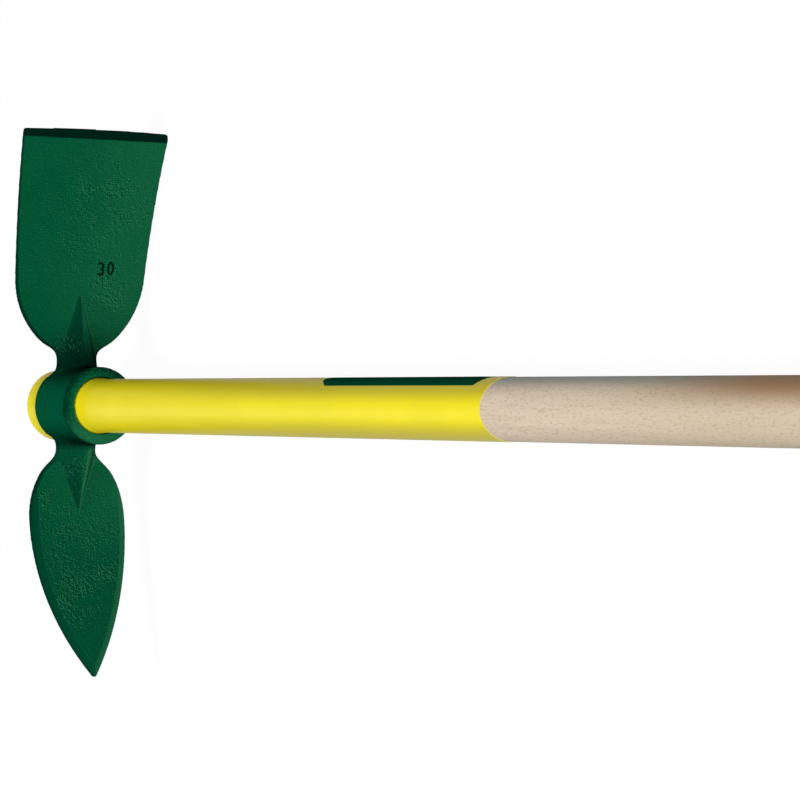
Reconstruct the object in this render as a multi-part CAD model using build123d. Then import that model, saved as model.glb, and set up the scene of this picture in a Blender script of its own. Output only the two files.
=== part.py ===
from build123d import *
from math import atan, hypot, sqrt, tan
import os

# A forged double-headed hoe on a turned handle, in millimetres.
# X runs along the handle from its head end towards the grip, Y towards the broad blade, Z up.
# The origin is the centre of the flat head end of the handle.

# Handle, with the lacquer on
handle_length = 1200.0
head_end_radius = 19.7
eye_mouth_radius = 15.1
shaft_radius = 14.65
head_end_rounding = 1.2
butt_dome_length = 12.0
butt_flat_radius = 8.0

# Lacquer on the head half of the handle: its thickness, and how far it stands above the bare wood
coat_thickness = 0.5
coat_step = 0.2
coat_length = 523.0
coat_edge_tilt = -13.5

# Eye of the head
handle_stand_out = 16.7
eye_length = 43.5
eye_front_radius = 21.3
eye_back_radius = 21.6
eye_clearance = 0.4
eye_front_rounding = 2.4
eye_back_rounding = 0.7
eye_mouth_chamfer = 0.7
eye_front = handle_stand_out + eye_length

# Blades at the root, the middle and the tip: Y, how far the mid-plane is in front of the eye's back,
# and the thickness
broad_profile = ((16.0, 7.5, 8.4), (90.0, 17.6, 3.8), (152.0, 37.8, 3.0))
tongue_profile = ((-16.0, 6.4, 7.0), (-90.0, 15.1, 4.8), (-151.0, 35.6, 3.4))
blade_stock = 60.0
neck_corner_rounding = 6.0

# Outline of the broad blade, seen along the handle: (Y, half-width) pairs
broad_neck = (16.0, 11.2)
broad_neck_end = (29.4, 11.2)
broad_shoulder_middle = (44.9, 29.0)
broad_shoulder_end = (69.6, 37.8)
broad_corner = (150.5, 43.0)
broad_edge_slant = 0.6
broad_edge_bow = 1.0
broad_corner_rounding = 1.6
broad_eye_fillet = 2.5
broad_bevel_length = 5.2
broad_bevel_depth = 2.4

# Outline of the tongue, seen along the handle: (Y, half-width) pairs
tongue_neck = (-16.0, 11.2)
tongue_neck_end = (-27.0, 11.2)
tongue_shoulder_middle = (-40.5, 22.1)
tongue_widest = (-63.7, 27.9)
tongue_tip = (-148.7, 0.9)
tongue_tip_rounding = 0.8
tongue_eye_fillet = 2.0
tongue_bevel_width = 4.2
tongue_bevel_depth = 1.5
tongue_bevel_start = 0.16
tongue_bevel_fade = 0.14
tongue_bevel_stations = 9

# Ribs from the eye onto the blades, at the root and where they start to narrow: Y, how far the crest is in
# front of the eye's back, and the crest's half-width; then the Y where they die out on the blade
broad_rib = ((14.0, 30.0, 3.6), (24.0, 26.0, 2.9), 61.5)
tongue_rib = ((-14.0, 28.6, 3.6), (-24.0, 24.6, 2.9), -58.5)
rib_half_width = 11.1
rib_floor = 4.5

# Size number stamped in the broad blade
digit_height = 6.3
zero_width = 4.0
digit_stroke = 1.15
digit_depth = 0.8
three_middle = (75.6, -11.0)
zero_middle = (76.0, -16.9)


def handle_solid(inset):
    """The turned handle, with its wall and its head end moved inwards from the lacquer by the inset."""
    flare_angle = atan((head_end_radius - eye_mouth_radius) / eye_front)
    fade_length = (eye_mouth_radius - shaft_radius) / tan(flare_angle / 2)
    barrel_start = (eye_front + fade_length, shaft_radius - inset)
    barrel_end = (handle_length - butt_dome_length, shaft_radius - inset)
    butt_edge = (handle_length, butt_flat_radius)
    flare = Line((inset, head_end_radius - inset), (eye_front, eye_mouth_radius - inset))
    fade = TangentArc(flare @ 1, barrel_start, tangent=flare % 1)
    barrel = Line(barrel_start, barrel_end)
    dome = TangentArc(barrel_end, butt_edge, tangent=(1, 0))
    closing = Polyline(butt_edge, (handle_length, 0), (inset, 0), flare @ 0)
    turned = revolve(make_face(Curve() + [flare, fade, barrel, dome, closing]), Axis.X)
    head_rim = turned.edges().filter_by(GeomType.CIRCLE).sort_by(Axis.X)[0]
    return fillet(head_rim, head_end_rounding)


def coat_limit():
    """The slightly tilted plane where the lacquer stops."""
    return Plane(origin=(coat_length, 0, 0)).rotated((0, 90 + coat_edge_tilt, 0))


def handle():
    lacquered = split(handle_solid(coat_thickness), bisect_by=coat_limit(), keep=Keep.BOTTOM)
    bare = split(handle_solid(coat_step), bisect_by=coat_limit(), keep=Keep.TOP)
    return lacquered + bare


def handle_coat():
    outside = split(handle_solid(0), bisect_by=coat_limit(), keep=Keep.BOTTOM)
    return outside - handle_solid(coat_thickness)


def eye_blank():
    """The outside of the eye, before the bore."""
    back = handle_stand_out
    back_rim = (back, eye_back_radius)
    front_rim = (eye_front, eye_front_radius)
    ring = make_face(Polyline((back, 0), back_rim, front_rim, (eye_front, 0), close=True))
    ring = fillet(ring.vertices().sort_by_distance(back_rim)[0], eye_back_rounding)
    ring = fillet(ring.vertices().sort_by_distance(front_rim)[0], eye_front_rounding)
    return revolve(ring, Axis.X)


def eye_bore():
    """The conical bore, a little wider than the flare of the handle all along."""
    slope = (head_end_radius - eye_mouth_radius) / eye_front
    mouth = eye_mouth_radius + eye_clearance
    start = handle_stand_out - 1
    end = eye_front + 1
    bore = Polyline(
        (start, 0),
        (start, mouth + slope * (eye_front - start)),
        (eye_front - eye_mouth_chamfer, mouth + slope * eye_mouth_chamfer),
        (eye_front, mouth + eye_mouth_chamfer),
        (end, mouth + eye_mouth_chamfer),
        (end, 0),
        close=True,
    )
    return revolve(make_face(bore), Axis.X)


def face_curve(profile, side, lift=0):
    """One face of a blade in side view: side is 1 for the front, -1 for the back, and lift moves it in X."""
    points = [(handle_stand_out + x + side * thickness / 2 + lift, y) for y, x, thickness in profile]
    return ThreePointArc(*points)


def front_x(profile, y):
    """Where the front of a blade is at a given Y."""
    arc = face_curve(profile, 1)
    return arc.arc_center.X - sqrt(arc.radius**2 - (y - arc.arc_center.Y) ** 2)


def slab(front, back):
    """The sheet between two curves in side view, much wider than the blade."""
    section = make_face(Curve() + [front, back, Line(front @ 0, back @ 0), Line(front @ 1, back @ 1)])
    return extrude(section, blade_stock, both=True)


def flipped(point):
    return (point[0], -point[1])


def outline_solid(outline, rounded_corners):
    """A blade's outline, with some corners rounded, pushed along the handle."""
    face = make_face(Curve() + outline)
    for corner, radius in rounded_corners:
        face = fillet(face.vertices().sort_by_distance(corner)[0], radius)
    return extrude(Plane.YZ * face, 2 * blade_stock)


def broad_side(side):
    """One side of the broad blade's outline, from the neck to the edge: side is 1 or -1."""
    neck_end, shoulder_middle, shoulder_end, corner = [
        (y, side * half_width)
        for y, half_width in (broad_neck_end, broad_shoulder_middle, broad_shoulder_end, broad_corner)
    ]
    corner = (corner[0] + side * broad_edge_slant, corner[1])
    neck = Line((broad_neck[0], side * broad_neck[1]), neck_end)
    return neck, ThreePointArc(neck_end, shoulder_middle, shoulder_end), Line(shoulder_end, corner)


def broad_outline():
    left, right = broad_side(1), broad_side(-1)
    edge = ThreePointArc(left[2] @ 1, (broad_corner[0] + broad_edge_bow, 0), right[2] @ 1)
    corners = [(side[0] @ 1, neck_corner_rounding) for side in (left, right)]
    corners += [(side[2] @ 1, broad_corner_rounding) for side in (left, right)]
    return outline_solid([Line(left[0] @ 0, right[0] @ 0), *left, *right, edge], corners)


def tongue_side(side):
    """One side of the tongue's outline, from the neck to the point: side is 1 or -1."""
    neck_end = (tongue_neck_end[0], side * tongue_neck_end[1])
    middle = (tongue_shoulder_middle[0], side * tongue_shoulder_middle[1])
    widest = (tongue_widest[0], side * tongue_widest[1])
    tip = (tongue_tip[0], side * tongue_tip[1])
    return ThreePointArc(neck_end, middle, widest), TangentArc(widest, tip, tangent=(-1, 0))


def tongue_outline():
    outline = [Line(tongue_neck, flipped(tongue_neck)), Line(tongue_tip, flipped(tongue_tip))]
    outline += [Line(tongue_neck, tongue_neck_end), Line(flipped(tongue_neck), flipped(tongue_neck_end))]
    outline += tongue_side(1) + tongue_side(-1)
    corners = [(tongue_neck_end, neck_corner_rounding), (flipped(tongue_neck_end), neck_corner_rounding)]
    corners += [(tongue_tip, tongue_tip_rounding), (flipped(tongue_tip), tongue_tip_rounding)]
    return outline_solid(outline, corners)


def broad_blade():
    """The wide cutting blade, ground to an edge along its front."""
    sheet = slab(face_curve(broad_profile, 1), face_curve(broad_profile, -1))
    edge_y = broad_corner[0] + broad_edge_bow
    heel_y = edge_y - broad_bevel_length
    heel = (front_x(broad_profile, heel_y), heel_y)
    fall = front_x(broad_profile, edge_y) - broad_bevel_depth - heel[0]
    far = (heel[0] + 2 * fall, heel_y + 2 * broad_bevel_length)
    above = heel[0] + blade_stock
    ground_off = Polyline(heel, far, (above, far[1]), (above, heel_y), close=True)
    return (sheet & broad_outline()) - extrude(make_face(ground_off), blade_stock, both=True)


def bevel_section(path, share, width, side):
    """The corner ground off the front of the tongue at one place on its outline."""
    spot = path @ share
    along = path % share
    inward = Vector(-along.Y, along.X) * side
    inner = spot + inward * width
    depth = tongue_bevel_depth * width / tongue_bevel_width
    heel = Vector(front_x(tongue_profile, inner.X), inner.X, inner.Y)
    rim = Vector(front_x(tongue_profile, spot.X) - depth, spot.X, spot.Y)
    beyond = heel + (rim - heel) * 1.5
    above = Vector(3 * tongue_bevel_depth, 0, 0)
    return make_face(Polyline(heel, beyond, beyond + above, heel + above, close=True))


def tongue_grinding(side):
    """What is ground off one front edge of the tongue, from its widest place past the point."""
    shoulder, leaf = tongue_side(side)
    past_tip = Line(leaf @ 1, leaf @ 1 + (leaf % 1) * tongue_bevel_width)
    path = Wire([shoulder, leaf, past_tip])
    sections = []
    for station in range(tongue_bevel_stations):
        run = station / (tongue_bevel_stations - 1)
        share = tongue_bevel_start + run * (1 - tongue_bevel_start)
        width = tongue_bevel_width * min(1, 0.1 + run / tongue_bevel_fade)
        sections.append(bevel_section(path, share, width, side))
    return loft(sections)


def tongue_blade():
    """The pointed blade, ground along both front edges."""
    sheet = slab(face_curve(tongue_profile, 1), face_curve(tongue_profile, -1))
    return (sheet & tongue_outline()) - tongue_grinding(1) - tongue_grinding(-1)


def rib(root, knee, end_y, profile):
    """A ridge that rises from the blade to the eye and dies out on the blade's middle."""
    sections = []
    for y, crest, crest_half_width in (root, knee):
        floor_x = handle_stand_out + rib_floor
        crest_x = handle_stand_out + crest
        face_x = front_x(profile, y)
        right = [(floor_x, -rib_half_width), (face_x, -rib_half_width), (crest_x, -crest_half_width)]
        left = [(x, -z) for x, z in reversed(right)]
        across = Plane(origin=(0, y, 0), x_dir=(1, 0, 0), z_dir=(0, -1, 0))
        sections.append(across * make_face(Polyline(*right, *left, close=True)))
    return loft([*sections, Vertex(front_x(profile, end_y), end_y, 0)], ruled=True)


def on_eye(point):
    """Whether a point lies on the conical outside of the eye."""
    share = (point.X - handle_stand_out) / eye_length
    radius = eye_back_radius + (eye_front_radius - eye_back_radius) * share
    return abs(hypot(point.Y, point.Z) - radius) < 0.02


def neck_fillet(body, side, radius):
    """Rounds the corner where the blade on one side of the eye grows out of it."""
    joins = []
    for edge in body.edges():
        touches = all(on_eye(edge @ share) for share in (0, 0.5, 1))
        if touches and edge.length < eye_length and (edge @ 0.5).Y * side > 0:
            joins.append(edge)
    return fillet(joins, radius)


def stamped_number():
    """The plain size number 30, sunk into the front of the broad blade."""
    bowl = digit_height / 4
    upper = CenterArc((0, bowl), bowl, 150, -240)
    lower = CenterArc((0, -bowl), bowl, 90, -240)
    three = trace(upper, digit_stroke) + trace(lower, digit_stroke)
    outer = (zero_width / 2, (digit_height + digit_stroke) / 2)
    zero = Ellipse(*outer) - Ellipse(outer[0] - digit_stroke, outer[1] - digit_stroke)
    skin = slab(face_curve(broad_profile, 1, 1), face_curve(broad_profile, 1, -digit_depth))
    number = Part()
    for digit, (middle_y, middle_z) in ((three, three_middle), (zero, zero_middle)):
        upright = Plane(origin=(0, middle_y, middle_z), x_dir=(0, 0, -1), z_dir=(1, 0, 0))
        number += extrude(upright * digit, 2 * blade_stock) & skin
    return number


def hoe_head():
    body = eye_blank() + broad_blade() + tongue_blade()
    body = neck_fillet(body, 1, broad_eye_fillet)
    body = neck_fillet(body, -1, tongue_eye_fillet)
    body += rib(*broad_rib, broad_profile)
    body += rib(*tongue_rib, tongue_profile)
    return body - eye_bore() - stamped_number()


os.makedirs("parts", exist_ok=True)
for name, solid in (("handle", handle()), ("handle_coat", handle_coat()), ("hoe_head", hoe_head())):
    export_step(solid, f"parts/{name}.step")
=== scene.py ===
import bpy
import math
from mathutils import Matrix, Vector


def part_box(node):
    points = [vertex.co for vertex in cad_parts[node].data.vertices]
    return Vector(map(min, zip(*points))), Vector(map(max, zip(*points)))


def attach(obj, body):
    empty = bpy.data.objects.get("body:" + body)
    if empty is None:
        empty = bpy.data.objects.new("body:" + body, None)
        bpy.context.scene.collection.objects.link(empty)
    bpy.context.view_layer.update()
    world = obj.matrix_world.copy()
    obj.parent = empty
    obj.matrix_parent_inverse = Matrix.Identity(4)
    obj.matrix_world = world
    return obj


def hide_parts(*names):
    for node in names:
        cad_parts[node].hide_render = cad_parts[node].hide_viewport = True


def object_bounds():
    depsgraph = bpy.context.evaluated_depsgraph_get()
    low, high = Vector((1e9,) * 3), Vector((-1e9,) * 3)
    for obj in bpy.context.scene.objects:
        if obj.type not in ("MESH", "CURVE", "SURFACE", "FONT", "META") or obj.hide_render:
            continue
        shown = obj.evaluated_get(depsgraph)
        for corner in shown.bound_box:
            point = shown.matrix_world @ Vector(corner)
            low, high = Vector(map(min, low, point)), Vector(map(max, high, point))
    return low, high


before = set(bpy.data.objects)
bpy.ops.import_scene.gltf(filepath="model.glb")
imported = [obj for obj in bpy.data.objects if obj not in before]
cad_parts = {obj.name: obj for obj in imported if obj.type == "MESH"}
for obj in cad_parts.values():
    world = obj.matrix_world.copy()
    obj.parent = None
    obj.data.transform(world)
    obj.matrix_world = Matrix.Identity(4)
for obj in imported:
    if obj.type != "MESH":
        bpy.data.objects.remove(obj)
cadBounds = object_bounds()
print("frame loaded")

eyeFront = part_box("hoe_head")[1][0]  # the eye's rim on the grip side


def newMaterial(name):
    mat = bpy.data.materials.new(name)
    mat.use_nodes = True
    mat.node_tree.nodes.clear()
    return mat


nodeGrid = {"columns": 12, "step": 220}


# nodes are laid out in rows, in the order they are added
def addNode(tree, kind, **values):
    row, column = divmod(len(tree.nodes), nodeGrid["columns"])
    node = tree.nodes.new(kind)
    node.location = (column * nodeGrid["step"], -row * nodeGrid["step"])
    for key, value in values.items():
        if key in node.inputs:
            node.inputs[key].default_value = value
        else:
            setattr(node, key, value)
    return node


def setRamp(node, stops):
    for element, (place, color) in zip(node.color_ramp.elements, stops):
        element.position = place
        element.color = (*color, 1.0)


# the same soft step as addFade, for weights on the mesh
def fade(value, start, end):
    share = min(1.0, max(0.0, (value - start) / (end - start)))
    return share * share * (3.0 - 2.0 * share)


def addMath(tree, operation, *values):
    node = addNode(tree, "ShaderNodeMath", operation=operation)
    for socket, value in zip(node.inputs, values):
        if isinstance(value, float):
            socket.default_value = value
        else:
            tree.links.new(value, socket)
    return node.outputs[0]


def addProduct(tree, first, *others):
    for other in others:
        first = addMath(tree, "MULTIPLY", first, other)
    return first


# 0 at start, 1 at end, soft between them
def addFade(tree, value, start, end):
    node = addNode(tree, "ShaderNodeMapRange", interpolation_type="SMOOTHSTEP")
    node.inputs["From Min"].default_value = start
    node.inputs["From Max"].default_value = end
    tree.links.new(value, node.inputs["Value"])
    return node.outputs["Result"]


def addMix(tree, share, first, second):
    node = addNode(tree, "ShaderNodeMix", data_type="RGBA")
    tree.links.new(share, node.inputs[0])
    for socket, value in ((node.inputs[6], first), (node.inputs[7], second)):  # its two colour sockets
        if isinstance(value, tuple):
            socket.default_value = (*value, 1.0)
        else:
            tree.links.new(value, socket)
    return node.outputs[2]


def addAxes(tree, vector):
    axes = addNode(tree, "ShaderNodeSeparateXYZ")
    tree.links.new(vector, axes.inputs[0])
    return axes.outputs


def addMapped(tree, vector, **values):
    mapping = addNode(tree, "ShaderNodeMapping", **values)
    tree.links.new(vector, mapping.inputs["Vector"])
    return mapping.outputs["Vector"]


def addNoise(tree, vector, **values):
    noise = addNode(tree, "ShaderNodeTexNoise", **values)
    tree.links.new(vector, noise.inputs["Vector"])
    return noise.outputs["Fac"]


def addSeenRays(tree):
    rays = addNode(tree, "ShaderNodeLightPath")
    seen = addMath(tree, "MAXIMUM", rays.outputs["Is Camera Ray"], rays.outputs["Is Glossy Ray"])
    return addMath(tree, "MAXIMUM", seen, rays.outputs["Is Transmission Ray"])


# the head again as a forging: soft necks, softened edges; ranges are from none to full
forging = {
    "mergeGap": 0.000001,
    "voxel": 0.0005,
    "neckStart": (0.0150, 0.0185),
    "neckEnd": (0.0290, 0.0370),
    "neckSides": (0.015, 0.021),
    "rimBack": (0.014, 0.005),
    "smoothing": 0.5,
    "neckRepeats": 200,
    "skinRepeats": 3,
    "leastWeight": 0.01,
    "keepShare": 0.42,
    "numberLow": (0.0, 0.0690, -0.0215),
    "numberHigh": (0.0, 0.0820, -0.0065),
    "numberBack": 0.05,
    "numberDepth": 0.0025,
    "cutLift": 0.00005,
}


def neckShare(x, y, z):
    rimFrom, rimFull = forging["rimBack"]
    along = fade(abs(y), *forging["neckStart"]) * (1.0 - fade(abs(y), *forging["neckEnd"]))
    across = 1.0 - fade(abs(z), *forging["neckSides"])
    behindRim = 1.0 - fade(x, eyeFront - rimFrom, eyeFront - rimFull)
    return along * across * behindRim


def addGroup(piece, name, weigh):
    group = piece.vertex_groups.new(name=name)
    for vert in piece.data.vertices:
        weight = weigh(*vert.co)
        if weight > forging["leastWeight"]:
            group.add([vert.index], weight, "REPLACE")


def addSmooth(piece, group, repeats):
    smooth = piece.modifiers.new(group, "SMOOTH")
    smooth.vertex_group = group
    smooth.factor = forging["smoothing"]
    smooth.iterations = repeats


def pickOnly(piece):
    bpy.ops.object.select_all(action="DESELECT")
    piece.select_set(True)
    bpy.context.view_layer.objects.active = piece


def copyHead(name):
    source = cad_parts["hoe_head"]
    piece = source.copy()
    piece.data = source.data.copy()
    piece.name = name
    bpy.context.scene.collection.objects.link(piece)
    pickOnly(piece)
    bpy.ops.object.mode_set(mode="EDIT")
    bpy.ops.mesh.select_all(action="SELECT")
    bpy.ops.mesh.remove_doubles(threshold=forging["mergeGap"])
    bpy.ops.object.mode_set(mode="OBJECT")
    return piece


def cut(piece, tool):
    pickOnly(piece)
    carve = piece.modifiers.new("carve", "BOOLEAN")
    carve.operation = "DIFFERENCE"
    carve.solver = "EXACT"
    carve.material_mode = "TRANSFER"
    carve.object = tool
    bpy.ops.object.modifier_apply(modifier="carve")
    bpy.data.objects.remove(tool)


# what the stamped number leaves of a block: a punch with the digits standing on it
def makeNumberPunch():
    low, high = forging["numberLow"], forging["numberHigh"]
    head = copyHead("numberHead")
    bladeFace = max(
        vert.co.x for vert in head.data.vertices
        if low[1] < vert.co.y < high[1]
        and low[2] < vert.co.z < high[2]
        and vert.co.x > eyeFront - forging["numberBack"]
    )
    middle = (bladeFace, 0.5 * (low[1] + high[1]), 0.5 * (low[2] + high[2]))
    bpy.ops.mesh.primitive_cube_add(size=1.0, location=middle)
    punch = bpy.context.object
    punch.name = "numberPunch"
    punch.scale = (2.0 * forging["numberDepth"], high[1] - low[1], high[2] - low[2])
    bpy.ops.object.transform_apply(location=True, rotation=True, scale=True)
    cut(punch, head)
    punch.data.materials.clear()
    punch.data.materials.append(bpy.data.materials.new("stampPlace"))
    punch.location.x = forging["cutLift"]
    bpy.ops.object.transform_apply(location=True, rotation=False, scale=False)
    return punch


# the faces that the punch leaves carry its material, and the attribute keeps them marked
def markStamp(piece):
    stamp = piece.data.attributes.new("stamp", "FLOAT", "FACE")
    for face, mark in zip(piece.data.polygons, stamp.data):
        mark.value = min(1.0, float(face.material_index))


def makeForging():
    piece = copyHead("forgedHead")
    remesh = piece.modifiers.new("clay", "REMESH")
    remesh.mode = "VOXEL"
    remesh.voxel_size = forging["voxel"]
    bpy.ops.object.modifier_apply(modifier="clay")
    addGroup(piece, "necks", neckShare)
    addGroup(piece, "skin", lambda x, y, z: 1.0)
    addSmooth(piece, "necks", forging["neckRepeats"])
    addSmooth(piece, "skin", forging["skinRepeats"])
    bpy.ops.object.modifier_apply(modifier="necks")
    bpy.ops.object.modifier_apply(modifier="skin")
    thin = piece.modifiers.new("thin", "DECIMATE")
    thin.ratio = forging["keepShare"]
    bpy.ops.object.modifier_apply(modifier="thin")
    piece.data.materials.clear()
    piece.data.materials.append(bpy.data.materials.new("plainPlace"))
    cut(piece, makeNumberPunch())
    markStamp(piece)
    bpy.ops.object.shade_smooth()
    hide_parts("hoe_head")
    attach(piece, "head_body")
    triangles = sum(len(face.vertices) - 2 for face in piece.data.polygons)
    print("forging has", triangles, "triangles")
    return piece


# forge relief, shared by the three samples that give the paint its lit and shaded sides
forgeRelief = {
    "grainScale": 1200.0,
    "grainForce": 0.75,
    "grainInDrifts": 0.8,
    "creaseScale": 420.0,
    "creaseStretch": (1.0, 0.75, 1.35),
    "creaseTurn": (0.7, 0.0, 0.0),
    "creaseWidth": 0.12,
    "creaseForce": 0.50,
}


def makeRelief():
    group = bpy.data.node_groups.new("forgeRelief", "ShaderNodeTree")
    group.interface.new_socket("Place", in_out="INPUT", socket_type="NodeSocketVector")
    group.interface.new_socket("Drift", in_out="INPUT", socket_type="NodeSocketFloat")
    group.interface.new_socket("Height", in_out="OUTPUT", socket_type="NodeSocketFloat")
    given = addNode(group, "NodeGroupInput")
    place, drift = given.outputs["Place"], given.outputs["Drift"]
    grain = addNoise(group, place, Scale=forgeRelief["grainScale"], Detail=1.5)
    turned = addMapped(group, place, Scale=forgeRelief["creaseStretch"], Rotation=forgeRelief["creaseTurn"])
    worm = addNoise(group, turned, Scale=forgeRelief["creaseScale"], Detail=2.0, Distortion=0.7)
    offMiddle = addMath(group, "ABSOLUTE", addMath(group, "SUBTRACT", worm, 0.5))
    crease = addProduct(group, addFade(group, offMiddle, forgeRelief["creaseWidth"], 0.0), drift)
    force = addMath(group, "MULTIPLY_ADD", drift, forgeRelief["grainInDrifts"], forgeRelief["grainForce"])
    fine = addProduct(group, grain, force)
    height = addMath(group, "MULTIPLY_ADD", crease, forgeRelief["creaseForce"], fine)
    out = addNode(group, "NodeGroupOutput")
    group.links.new(height, out.inputs["Height"])
    return group


# green paint over forge scale, with painted light and shade among its colours; a pair says where a colour
# starts and where it is full
greenPaint = {
    "deep": (0.0001, 0.064, 0.0250),
    "lit": (0.0050, 0.088, 0.0350),
    # painted shade: a darker copy of the paint for the tongue
    "tongue": (0.0006, 0.055, 0.0230),
    "ring": (0.0001, 0.084, 0.0380),
    # painted shade, for facets that face up
    "upFacingShade": (0.0001, 0.034, 0.0160),
    # painted light, for facets that face down, the tongue rib's lit facet and the lower rim face
    "paintedLight": (0.0200, 0.150, 0.0650),
    # painted shade in the necks
    "neck": (0.0001, 0.010, 0.0055),
    # painted shade: the sharpened edge band, the stamped number's recesses and the upper bore edge
    "ground": (0.0001, 0.012, 0.0065),
    # painted shadow, on the relief's shaded sides and the upper rim's scale
    "shadow": (0.0001, 0.022, 0.0110),
    # painted highlight on the relief's lit sides
    "glint": (0.0230, 0.165, 0.0720),
    "roughness": 0.50,
    "ior": 1.0,
    "toneScale": 45.0,
    "toneShare": 0.55,
    "toneRange": (0.22, 0.80),
    # painted light towards the -Z side, and where the tongue's painted shade starts
    "litSide": (0.030, -0.040),
    "litSideShare": 0.45,
    "tongueStart": (-0.040, -0.095),
    # facings that get painted shade and painted light
    "facesUp": (0.10, 0.40),
    "facesDown": (-0.10, -0.34),
    "facesDownShare": 0.42,
    "nearTongueNeck": (-0.046, -0.026),
    "nearTongueNeckLoss": -0.40,
    "belowEye": (0.0, -0.010),
    "rimFace": (0.0035, 0.0015),
    "rimEdge": (0.006, 0.003),
    "eyeReach": (0.0215, 0.0195),
    "rimOutside": (0.0168, 0.0196),
    "rimInside": (0.0164, 0.0153),
    "rimInsideShare": 0.85,
    "rimUpper": (-0.010, 0.004),
    "rimUpperLean": 0.6,
    "rimLower": (-0.002, -0.016),
    "rimLowerShare": 0.30,
    "scaleSize": 650.0,
    "scaleRange": (0.42, 0.56),
    "broadNeck": (0.050, 0.024),
    "tongueNeck": (-0.0255, -0.0200),
    "eyeEnd": (0.006, 0.0195),
    "neckMiddle": (0.020, 0.004),
    "edgeBand": 0.14585,
    "bandSlant": -0.018,
    "bandSoft": 0.0003,
    "bevelStart": (-0.048, -0.056),
    # a step towards the light, for the relief's painted highlights and shadows
    "lean": (0.0, 0.00022, -0.00022),
    "leanForce": 3.2,
    "sunny": (0.10, 1.9),
    "shady": (-0.10, -1.5),
    "dullLoss": -0.45,
    "bumpStrength": 0.6,
    "bumpDistance": 0.0004,
    "driftScale": 90.0,
    "driftRange": (0.25, 0.58),
    "driftSoft": 0.2,
}

# painted light on the lit facet beside the crest of the tongue's rib; its places across are shares of the
# rib's width
tongueCrestLight = {
    "taper": 0.13,
    "width": 0.0076,
    "mostWidth": 0.0050,
    "crestSide": (-0.02, -0.35),
    "footSide": (-1.15, -0.85),
    "eyeEnd": (-0.019, -0.027),
    "tipEnd": (-0.0575, -0.0545),
    "share": 0.75,
}

# drifts of wrinkled paint on the blades
wrinkles = (
    {"y": 0.100, "z": -0.014, "radius": 0.060, "force": 0.45},
    {"y": 0.114, "z": -0.010, "radius": 0.034, "force": 0.75},
    {"y": 0.064, "z": -0.016, "radius": 0.020, "force": 0.85},
    {"y": 0.034, "z": 0.008, "radius": 0.009, "force": 0.80},
    {"y": -0.034, "z": 0.003, "radius": 0.012, "force": 0.60},
    {"y": -0.052, "z": 0.021, "radius": 0.012, "force": 0.80},
    {"y": -0.080, "z": 0.000, "radius": 0.055, "force": 0.65},
    {"y": -0.106, "z": 0.006, "radius": 0.022, "force": 1.20},
    {"y": -0.094, "z": -0.014, "radius": 0.012, "force": 1.00},
)


def addDrifts(tree, place, alongY, alongZ):
    flat = addNode(tree, "ShaderNodeCombineXYZ")
    tree.links.new(alongY, flat.inputs[0])
    tree.links.new(alongZ, flat.inputs[1])
    drifts = 0.0
    for wrinkle in wrinkles:
        gap = addNode(tree, "ShaderNodeVectorMath", operation="DISTANCE")
        gap.inputs[1].default_value = (wrinkle["y"], wrinkle["z"], 0.0)
        tree.links.new(flat.outputs[0], gap.inputs[0])
        radius = wrinkle["radius"]
        spot = addFade(tree, gap.outputs["Value"], radius, greenPaint["driftSoft"] * radius)
        drifts = addMath(tree, "MAXIMUM", drifts, addProduct(tree, spot, wrinkle["force"]))
    patchy = addNoise(tree, place, Scale=greenPaint["driftScale"], Detail=3.0)
    return addProduct(tree, drifts, addFade(tree, patchy, *greenPaint["driftRange"]))


def addRelief(tree, group, place, drifts, shift):
    moved = addNode(tree, "ShaderNodeVectorMath", operation="ADD")
    moved.inputs[1].default_value = shift
    tree.links.new(place, moved.inputs[0])
    node = addNode(tree, "ShaderNodeGroup")
    node.node_tree = group
    tree.links.new(moved.outputs["Vector"], node.inputs["Place"])
    tree.links.new(drifts, node.inputs["Drift"])
    return node.outputs["Height"]


# the coat's tone differs at random; painted light makes it warmer and lighter towards one side (-Z), and
# painted shade makes it deeper on the tongue
def addToneWithPaintedLight(tree, place, alongY, alongZ):
    tone = addNoise(tree, place, Scale=greenPaint["toneScale"], Detail=6.0, Roughness=0.65)
    side = addProduct(tree, addFade(tree, alongZ, *greenPaint["litSide"]), greenPaint["litSideShare"])
    shade = addMath(tree, "MULTIPLY_ADD", tone, greenPaint["toneShare"], side)
    ramp = addNode(tree, "ShaderNodeValToRGB")
    deepEnd, litEnd = greenPaint["toneRange"]
    setRamp(ramp, [(deepEnd, greenPaint["deep"]), (litEnd, greenPaint["lit"])])
    tree.links.new(shade, ramp.inputs["Fac"])
    onTongue = addFade(tree, alongY, *greenPaint["tongueStart"])
    return addMix(tree, onTongue, ramp.outputs["Color"], greenPaint["tongue"])


# painted shade on facets that face up, though less near the tongue's neck, and painted light on those that
# face down
def addFacetShadeAndLight(tree, color, upFacingShade, downFacingLight, alongY):
    nearNeck = addFade(tree, alongY, *greenPaint["nearTongueNeck"])
    kept = addMath(tree, "MULTIPLY_ADD", nearNeck, greenPaint["nearTongueNeckLoss"], 1.0)
    kept = addMix(tree, addFade(tree, alongY, *greenPaint["belowEye"]), (1.0, 1.0, 1.0), kept)
    color = addMix(tree, addProduct(tree, upFacingShade, kept), color, greenPaint["upFacingShade"])
    return addMix(tree, downFacingLight, color, greenPaint["paintedLight"])


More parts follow.
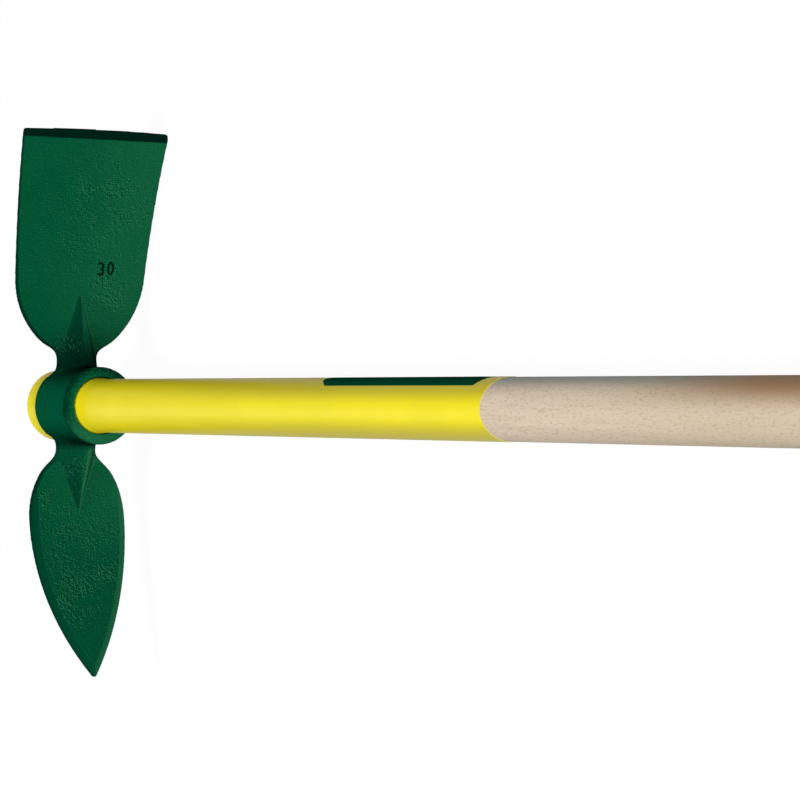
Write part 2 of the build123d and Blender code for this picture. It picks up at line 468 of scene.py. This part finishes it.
# painted light along the lit side of the tongue rib's crest
def addTongueCrestLight(tree, color, alongY, alongZ):
    width = addMath(tree, "MULTIPLY_ADD", alongY, tongueCrestLight["taper"], tongueCrestLight["width"])
    across = addMath(tree, "DIVIDE", alongZ, addMath(tree, "MINIMUM", width, tongueCrestLight["mostWidth"]))
    strip = addProduct(
        tree,
        addFade(tree, across, *tongueCrestLight["crestSide"]),
        addFade(tree, across, *tongueCrestLight["footSide"]),
        addFade(tree, alongY, *tongueCrestLight["eyeEnd"]),
        addFade(tree, alongY, *tongueCrestLight["tipEnd"]),
        tongueCrestLight["share"],
    )
    return addMix(tree, strip, color, greenPaint["paintedLight"])


# the rim: rough scale speckles outside, given painted shadow only on its upper side, where shade falls; a
# painted shadow on the upper bore edge, between ring and handle; painted light on the lower rim face
def addRim(tree, color, place, alongX, alongY, alongZ, rimFace):
    squares = addMath(tree, "MULTIPLY_ADD", alongY, alongY, addProduct(tree, alongZ, alongZ))
    radial = addMath(tree, "SQRT", squares)
    leaning = addMath(tree, "MULTIPLY_ADD", alongZ, greenPaint["rimUpperLean"], alongY)
    upper = addFade(tree, leaning, *greenPaint["rimUpper"])
    scale = addNoise(tree, place, Scale=greenPaint["scaleSize"], Detail=3.0, Roughness=0.7)
    edgeFrom, edgeFull = greenPaint["rimEdge"]
    # rough scale on the outer edge, darkened as painted shadow only on the upper side
    scaly = addProduct(
        tree,
        addFade(tree, scale, *greenPaint["scaleRange"]),
        addFade(tree, radial, *greenPaint["rimOutside"]),
        upper,
        addFade(tree, alongX, eyeFront - edgeFrom, eyeFront - edgeFull),
    )
    color = addMix(tree, scaly, color, greenPaint["shadow"])
    # painted light on the lower rim face
    lower = addFade(tree, alongY, *greenPaint["rimLower"])
    lower = addProduct(tree, lower, rimFace, greenPaint["rimLowerShare"])
    color = addMix(tree, lower, color, greenPaint["paintedLight"])
    # painted shadow on the upper bore edge, where the ring meets the handle
    inner = addFade(tree, radial, *greenPaint["rimInside"])
    inner = addProduct(tree, inner, upper, rimFace, greenPaint["rimInsideShare"])
    return addMix(tree, inner, color, greenPaint["ground"])


# painted shade where the necks meet the eye, deepest along their middle
def addNeckShadeMask(tree, reach, alongY, alongZ, offRim):
    middle = addFade(tree, addMath(tree, "ABSOLUTE", alongZ), *greenPaint["neckMiddle"])
    middle = addMath(tree, "MULTIPLY_ADD", middle, 0.5, 0.5)
    return addProduct(
        tree,
        addFade(tree, alongY, *greenPaint["broadNeck"]),
        addFade(tree, alongY, *greenPaint["tongueNeck"]),
        addFade(tree, reach, *greenPaint["eyeEnd"]),
        middle,
        offRim,
    )


# painted shade on the broad blade's sharpened edge band, a little askew, and in the stamped number's
# recesses
def addEdgeAndStampShade(tree, alongY, alongZ):
    askew = addMath(tree, "MULTIPLY_ADD", alongZ, greenPaint["bandSlant"], alongY)
    start, soft = greenPaint["edgeBand"], greenPaint["bandSoft"]
    band = addFade(tree, askew, start - soft, start + soft)
    stamp = addNode(tree, "ShaderNodeAttribute", attribute_name="stamp")
    return addMath(tree, "MAXIMUM", band, stamp.outputs["Fac"])


def makeGreenPaint():
    mat = newMaterial("greenForgePaint")
    tree = mat.node_tree
    link = tree.links.new
    coords = addNode(tree, "ShaderNodeTexCoord")
    place = coords.outputs["Object"]
    alongX, alongY, alongZ = addAxes(tree, place)
    facingZ = addAxes(tree, coords.outputs["Normal"])[2]
    reach = addMath(tree, "ABSOLUTE", alongY)

    # painted shade on up-facing facets, painted light on down-facing ones
    upFacingShade = addFade(tree, facingZ, *greenPaint["facesUp"])
    downFacingLight = addProduct(tree, addFade(tree, facingZ, *greenPaint["facesDown"]), greenPaint["facesDownShare"])
    faceFrom, faceFull = greenPaint["rimFace"]
    rimFace = addFade(tree, alongX, eyeFront - faceFrom, eyeFront - faceFull)
    offRim = addMath(tree, "SUBTRACT", 1.0, rimFace)
    ring = addProduct(tree, addFade(tree, reach, *greenPaint["eyeReach"]), offRim)
    neck = addNeckShadeMask(tree, reach, alongY, alongZ, offRim)
    edgeAndStampShade = addEdgeAndStampShade(tree, alongY, alongZ)

    color = addToneWithPaintedLight(tree, place, alongY, alongZ)
    color = addFacetShadeAndLight(tree, color, upFacingShade, downFacingLight, alongY)
    color = addMix(tree, ring, color, greenPaint["ring"])
    color = addTongueCrestLight(tree, color, alongY, alongZ)
    color = addRim(tree, color, place, alongX, alongY, alongZ, rimFace)
    # painted shade in the necks
    color = addMix(tree, neck, color, greenPaint["neck"])
    # painted shade on the sharpened edge band and in the stamped number
    color = addMix(tree, edgeAndStampShade, color, greenPaint["ground"])

    # relief: fine grain everywhere, worm-like creases in drifts, none on the sharpened edge band or in the
    # stamped number
    drifts = addDrifts(tree, place, alongY, alongZ)
    relief = makeRelief()
    toward = greenPaint["lean"]
    back = tuple(-part for part in toward)
    height = addRelief(tree, relief, place, drifts, (0.0, 0.0, 0.0))
    ahead = addRelief(tree, relief, place, drifts, toward)
    behind = addRelief(tree, relief, place, drifts, back)
    bevels = addMath(tree, "MAXIMUM", upFacingShade, downFacingLight)
    bevels = addProduct(tree, bevels, addFade(tree, alongY, *greenPaint["bevelStart"]))
    rough = addMath(tree, "SUBTRACT", 1.0, addMath(tree, "MAXIMUM", edgeAndStampShade, bevels))
    # painted highlight on relief sides that face the light and painted shadow on those that face away, with
    # fewer highlights in the painted shade of necks and up-facing facets
    lean = addMath(tree, "SUBTRACT", behind, ahead)
    lean = addProduct(tree, lean, rough, greenPaint["leanForce"])
    dull = addMath(tree, "MULTIPLY_ADD", addMath(tree, "MAXIMUM", neck, upFacingShade), greenPaint["dullLoss"], 1.0)
    sunny = addProduct(tree, addFade(tree, lean, *greenPaint["sunny"]), dull)
    shady = addFade(tree, lean, *greenPaint["shady"])
    color = addMix(tree, shady, color, greenPaint["shadow"])
    color = addMix(tree, sunny, color, greenPaint["glint"])
    bump = addNode(
        tree, "ShaderNodeBump", Strength=greenPaint["bumpStrength"], Distance=greenPaint["bumpDistance"]
    )
    link(addProduct(tree, height, rough), bump.inputs["Height"])

    paint = addNode(tree, "ShaderNodeBsdfPrincipled", Roughness=greenPaint["roughness"])
    paint.inputs["IOR"].default_value = greenPaint["ior"]
    out = addNode(tree, "ShaderNodeOutputMaterial")
    link(color, paint.inputs["Base Color"])
    link(bump.outputs["Normal"], paint.inputs["Normal"])
    link(paint.outputs["BSDF"], out.inputs["Surface"])
    return mat


# yellow dip lacquer with a plain green band, on the broad blade's side of the handle
yellowLacquer = {
    "color": (0.86, 0.73, 0.008),
    "darker": 0.95,
    "toneScale": 30.0,
    "toneRange": (0.3, 0.7),
    "green": (0.001, 0.068, 0.030),
    # painted shade for the coat's end lip and along the handle's edges
    "lip": (0.50, 0.42, 0.006),
    "lipFacing": (0.3, 0.7),
    "roughness": 0.40,
    "ior": 1.25,
    "specular": 0.22,
    "bandStart": 0.291,
    "bandEnd": 0.451,
    "bandSoft": 0.0006,
    "bandAngle": 0.75,
    "bandAngleSoft": 0.03,
    "bandWaves": 5.0,
    "bandWave": 0.006,
    "bandSlant": 0.008,
    "edgeTilt": 0.08,
    "edgeFacing": (0.15, 0.75),
    "edgeAlong": (0.06, 0.36),
    "edgeShare": 0.80,
}


def addGreenBand(tree, alongX, alongY, alongZ):
    angle = addMath(tree, "ARCTAN2", alongZ, alongY)
    away = addMath(tree, "ABSOLUTE", angle)
    wave = addMath(tree, "SINE", addProduct(tree, angle, yellowLacquer["bandWaves"]))
    start = addMath(tree, "MULTIPLY_ADD", wave, yellowLacquer["bandWave"], alongX)
    slant = addMath(tree, "MULTIPLY_ADD", away, yellowLacquer["bandSlant"], alongX)
    left = eyeFront + yellowLacquer["bandStart"]
    right = eyeFront + yellowLacquer["bandEnd"]
    soft, halfAngle = yellowLacquer["bandSoft"], yellowLacquer["bandAngle"]
    return addProduct(
        tree,
        addFade(tree, start, left, left + soft),
        addFade(tree, slant, right + soft, right),
        addFade(tree, away, halfAngle + yellowLacquer["bandAngleSoft"], halfAngle),
    )


def makeYellowLacquer():
    mat = newMaterial("yellowLacquer")
    tree = mat.node_tree
    link = tree.links.new
    coords = addNode(tree, "ShaderNodeTexCoord")
    place = coords.outputs["Object"]
    alongX, alongY, alongZ = addAxes(tree, place)
    facingX, facingY = addAxes(tree, coords.outputs["Normal"])[:2]
    tone = addNoise(tree, place, Scale=yellowLacquer["toneScale"], Detail=4.0)
    ramp = addNode(tree, "ShaderNodeValToRGB")
    dark = tuple(yellowLacquer["darker"] * part for part in yellowLacquer["color"])
    darkEnd, fullEnd = yellowLacquer["toneRange"]
    setRamp(ramp, [(darkEnd, dark), (fullEnd, yellowLacquer["color"])])
    link(tone, ramp.inputs["Fac"])
    band = addGreenBand(tree, alongX, alongY, alongZ)
    color = addMix(tree, band, ramp.outputs["Color"], yellowLacquer["green"])

    offBand = addMath(tree, "SUBTRACT", 1.0, band)

    # painted shade: darker on the coat's end lip, which faces the grip, and, further from the head, along
    # both edges of the handle
    lip = addFade(tree, facingX, *yellowLacquer["lipFacing"])
    tilt = addMath(tree, "ABSOLUTE", addMath(tree, "ADD", facingY, yellowLacquer["edgeTilt"]))
    edge = addProduct(
        tree,
        addFade(tree, tilt, *yellowLacquer["edgeFacing"]),
        addFade(tree, alongX, *yellowLacquer["edgeAlong"]),
        yellowLacquer["edgeShare"],
        offBand,
    )
    color = addMix(tree, addMath(tree, "MAXIMUM", lip, edge), color, yellowLacquer["lip"])

    lacquer = addNode(tree, "ShaderNodeBsdfPrincipled", Roughness=yellowLacquer["roughness"])
    lacquer.inputs["IOR"].default_value = yellowLacquer["ior"]
    out = addNode(tree, "ShaderNodeOutputMaterial")
    link(color, lacquer.inputs["Base Color"])
    gloss = addProduct(tree, offBand, yellowLacquer["specular"])  # none on the band
    link(gloss, lacquer.inputs["Specular IOR Level"])
    link(lacquer.outputs["BSDF"], out.inputs["Surface"])
    return mat


# unlacquered beech: grey-cream with short brown rays, darker further along; painted shade on its upper side
# far along, and a cool grey painted shade along its upper edge
beechWood = {
    "pale": (0.68, 0.57, 0.445),
    "warm": (0.60, 0.49, 0.375),
    "fleck": (0.44, 0.31, 0.21),
    "darkerFar": (0.540, 0.450, 0.325),
    # painted shade on the upper side far along, and a cool grey painted shade on the upper edge
    "upperShade": (0.30, 0.17, 0.075),
    "upperEdgeShade": (0.28, 0.34, 0.31),
    "roughness": 0.62,
    "specular": 0.12,
    "streakStretch": (0.08, 1.0, 1.0),
    "streakScale": 180.0,
    "streakRange": (0.35, 0.65),
    "rayStretch": (0.30, 1.0, 1.0),
    "rayTurn": (0.0, 0.0, 0.35),
    "rayScale": 1150.0,
    "rayRange": (0.52, 0.68),
    "rayShare": 0.50,
    "darkerFarAlong": (0.50, 0.74),
    "darkerFarShare": 0.80,
    "upperEdgeShadeSide": (0.0085, 0.0135),
    "upperEdgeShadeShare": 0.7,
    "upperShadeAlong": (0.62, 0.76),
    "upperShadeSide": (-0.001, 0.0115),
    "upperShadeShare": 0.95,
    "bumpStrength": 0.25,
    "bumpDistance": 0.0003,
}


def makeBeech():
    mat = newMaterial("bareBeech")
    tree = mat.node_tree
    link = tree.links.new
    place = addNode(tree, "ShaderNodeTexCoord").outputs["Object"]
    alongX, alongY = addAxes(tree, place)[:2]
    streaks = addMapped(tree, place, Scale=beechWood["streakStretch"])
    tone = addNoise(tree, streaks, Scale=beechWood["streakScale"], Detail=5.0)
    ramp = addNode(tree, "ShaderNodeValToRGB")
    warmEnd, paleEnd = beechWood["streakRange"]
    setRamp(ramp, [(warmEnd, beechWood["warm"]), (paleEnd, beechWood["pale"])])
    link(tone, ramp.inputs["Fac"])
    rays = addMapped(tree, place, Scale=beechWood["rayStretch"], Rotation=beechWood["rayTurn"])
    flecks = addNoise(tree, rays, Scale=beechWood["rayScale"], Detail=1.0)

    darkerFar = addProduct(tree, addFade(tree, alongX, *beechWood["darkerFarAlong"]), beechWood["darkerFarShare"])
    fleck = addProduct(tree, addFade(tree, flecks, *beechWood["rayRange"]), beechWood["rayShare"])
    # cool grey painted shade along the upper edge
    upperEdgeShade = addProduct(tree, addFade(tree, alongY, *beechWood["upperEdgeShadeSide"]), beechWood["upperEdgeShadeShare"])
    # painted shade on the upper side, far along the handle
    upperShade = addProduct(
        tree,
        addFade(tree, alongX, *beechWood["upperShadeAlong"]),
        addFade(tree, alongY, *beechWood["upperShadeSide"]),
        beechWood["upperShadeShare"],
    )
    color = addMix(tree, darkerFar, ramp.outputs["Color"], beechWood["darkerFar"])
    color = addMix(tree, fleck, color, beechWood["fleck"])
    color = addMix(tree, upperEdgeShade, color, beechWood["upperEdgeShade"])
    color = addMix(tree, upperShade, color, beechWood["upperShade"])
    bump = addNode(
        tree, "ShaderNodeBump", Strength=beechWood["bumpStrength"], Distance=beechWood["bumpDistance"]
    )
    link(flecks, bump.inputs["Height"])

    wood = addNode(tree, "ShaderNodeBsdfPrincipled", Roughness=beechWood["roughness"])
    wood.inputs["Specular IOR Level"].default_value = beechWood["specular"]
    out = addNode(tree, "ShaderNodeOutputMaterial")
    link(color, wood.inputs["Base Color"])
    link(bump.outputs["Normal"], wood.inputs["Normal"])
    link(wood.outputs["BSDF"], out.inputs["Surface"])
    return mat


def dress(piece, mat):
    piece.data.materials.clear()
    piece.data.materials.append(mat)


forged = makeForging()
dress(forged, makeGreenPaint())
dress(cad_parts["handle_coat"], makeYellowLacquer())
dress(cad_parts["handle"], makeBeech())
print("materials on")


# pale floor: mostly a white glow to the camera, a plain matte surface to the lamps
floorSetup = {"size": 9.0, "middle": 0.4, "color": (0.38, 0.38, 0.38), "glowShare": 0.9, "glow": 1.07}


def makeFloor():
    bpy.ops.object.select_all(action="DESELECT")
    place = (floorSetup["middle"], 0.0, cadBounds[0][2])
    bpy.ops.mesh.primitive_plane_add(size=floorSetup["size"], location=place)
    floor = bpy.context.object
    floor.name = "paleFloor"
    bpy.ops.object.transform_apply(location=True, rotation=True, scale=True)
    mat = newMaterial("paleFloor")
    tree = mat.node_tree
    link = tree.links.new
    share = addProduct(tree, addSeenRays(tree), floorSetup["glowShare"])
    matte = addNode(tree, "ShaderNodeBsdfDiffuse", Color=(*floorSetup["color"], 1.0))
    glow = addNode(tree, "ShaderNodeEmission", Strength=floorSetup["glow"])
    mix = addNode(tree, "ShaderNodeMixShader")
    out = addNode(tree, "ShaderNodeOutputMaterial")
    link(share, mix.inputs[0])
    link(matte.outputs[0], mix.inputs[1])
    link(glow.outputs[0], mix.inputs[2])
    link(mix.outputs[0], out.inputs["Surface"])
    floor.data.materials.append(mat)


makeFloor()
print("floor down")


# soft round lamps: sizes in metres, power in watts
lamps = {
    "gripSide": {"place": (2.9, -0.15, 0.55), "aim": (0.1, 0.0, 0.0), "size": 0.9, "power": 80.0},
    "overhead": {"place": (0.45, -0.30, 2.0), "aim": (0.4, 0.0, 0.0), "size": 0.4, "power": 29.5},
    "farSheen": {"place": (-2.0, -0.40, 1.0), "aim": (0.4, 0.0, 0.0), "size": 0.7, "power": 3.4},
}


def addLamps():
    for name, lamp in lamps.items():
        place = Vector(lamp["place"])
        turn = (Vector(lamp["aim"]) - place).to_track_quat("-Z", "Y").to_euler()
        bpy.ops.object.light_add(type="AREA", location=place, rotation=turn)
        light = bpy.context.object
        light.name = name
        light.data.shape = "DISK"
        light.data.size = lamp["size"]
        light.data.energy = lamp["power"]


studio = {"color": (1.0, 1.0, 1.0, 1.0), "fill": 0.07, "seen": 1.0}


def makeWorld():
    world = bpy.data.worlds.new("paleStudio")
    bpy.context.scene.world = world
    world.use_nodes = True
    tree = world.node_tree
    tree.nodes.clear()
    link = tree.links.new
    fill = addNode(tree, "ShaderNodeBackground", Color=studio["color"], Strength=studio["fill"])
    seen = addNode(tree, "ShaderNodeBackground", Color=studio["color"], Strength=studio["seen"])
    mix = addNode(tree, "ShaderNodeMixShader")
    out = addNode(tree, "ShaderNodeOutputWorld")
    link(addSeenRays(tree), mix.inputs[0])
    link(fill.outputs[0], mix.inputs[1])
    link(seen.outputs[0], mix.inputs[2])
    link(mix.outputs[0], out.inputs["Surface"])


addLamps()
makeWorld()
print("lights on")


# the camera looks down the handle towards the head, rolled so that the blades stand upright
cameraSetup = {
    "place": (2.0760, 0.00737, 0.86022),
    "turn": (0.0, 62.62, 0.12),
    "lens": 180.0,
    "sensor": 36.0,
    "farEnd": 50.0,
}


def addCamera():
    turn = [math.radians(angle) for angle in cameraSetup["turn"]]
    bpy.ops.object.camera_add(location=cameraSetup["place"], rotation=turn)
    camera = bpy.context.object
    camera.data.lens = cameraSetup["lens"]
    camera.data.sensor_width = cameraSetup["sensor"]
    camera.data.clip_end = cameraSetup["farEnd"]
    bpy.context.scene.camera = camera


addCamera()
bpy.context.scene.view_settings.view_transform = "Standard"
print("camera set")
